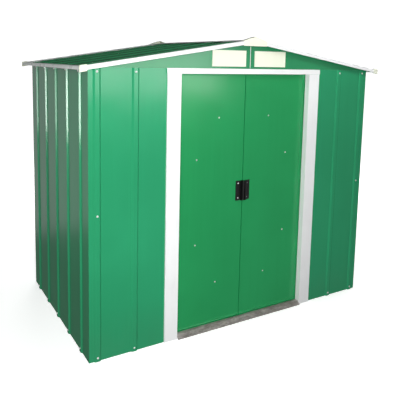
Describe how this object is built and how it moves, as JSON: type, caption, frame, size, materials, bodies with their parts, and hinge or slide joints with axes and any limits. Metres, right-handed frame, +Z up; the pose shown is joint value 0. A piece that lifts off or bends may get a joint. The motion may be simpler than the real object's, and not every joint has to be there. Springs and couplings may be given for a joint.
{
  "type": "metal storage shed with sliding doors",
  "caption": "Small gable-fronted garden shed of ribbed green steel sheet, with a low apex roof, a white door frame and a pair of sliding doors.",
  "frame": {"origin": "on the ground, under the middle of the shed's walls", "axes": "+Z up, +X to the right when facing the doors from outside, +Y from the door side towards the rear wall"},
  "size_m": [2.178, 1.328, 1.8291],
  "materials": {
    "green_wall_sheet": "glossy green paint on thin steel sheet",
    "green_door_sheet": "glossy green paint on thin steel sheet",
    "green_roof_sheet": "glossy dark green paint on thin steel sheet",
    "white_trim": "smooth white paint",
    "grey_trim": "smooth light grey paint",
    "cream_plastic": "moulded plastic",
    "zinc_frame": "galvanised steel",
    "zinc_threshold": "galvanised steel, dulled by feet",
    "black_handle": "black moulded plastic"
  },
  "bodies": {
    "shed": {"base_rail_left": "zinc_frame", "base_rail_right": "zinc_frame", "base_rail_rear": "zinc_frame", "front_bottom_track": "zinc_frame", "threshold_ramp": "zinc_threshold", "corner_post_front_left": "zinc_frame", "corner_post_front_right": "zinc_frame", "corner_post_rear_left": "zinc_frame", "corner_post_rear_right": "zinc_frame", "side_wall_left": "green_wall_sheet", "side_wall_right": "green_wall_sheet", "rear_wall": "green_wall_sheet", "front_wall_left": "green_wall_sheet", "front_wall_right": "green_wall_sheet", "door_jamb_left": "white_trim", "door_jamb_right": "white_trim", "door_header": "white_trim", "door_top_track": "zinc_frame", "top_rail_left": "zinc_frame", "top_rail_right": "zinc_frame", "top_rail_rear": "zinc_frame", "gable_front_left": "green_wall_sheet", "gable_front_right": "green_wall_sheet", "gable_rear_left": "green_wall_sheet", "gable_rear_right": "green_wall_sheet", "gable_vents": "cream_plastic", "ridge_beam": "zinc_frame", "roof_panel_left": "green_roof_sheet", "roof_panel_right": "green_roof_sheet", "ridge_cap": "grey_trim", "verge_trim_front_left": "white_trim", "verge_trim_front_right": "white_trim", "verge_trim_rear_left": "white_trim", "verge_trim_rear_right": "white_trim", "eave_trim_left": "grey_trim", "eave_trim_right": "grey_trim", "eave_corner_caps": "cream_plastic", "ridge_end_caps": "cream_plastic"},
    "door_left": {"door_left_leaf": "green_door_sheet", "door_left_seam_strip": "green_door_sheet", "door_left_braces": "zinc_frame", "door_left_handle": "black_handle"},
    "door_right": {"door_right_leaf": "green_door_sheet", "door_right_braces": "zinc_frame", "door_right_handle": "black_handle"}
  },
  "joints": [
    {"name": "door_left_slide", "type": "slide", "parent": "shed", "child": "door_left", "axis": [-1, 0, 0], "range_m": [0, 0.42]},
    {"name": "door_right_slide", "type": "slide", "parent": "shed", "child": "door_right", "axis": [1, 0, 0], "range_m": [0, 0.42]}
  ]
}
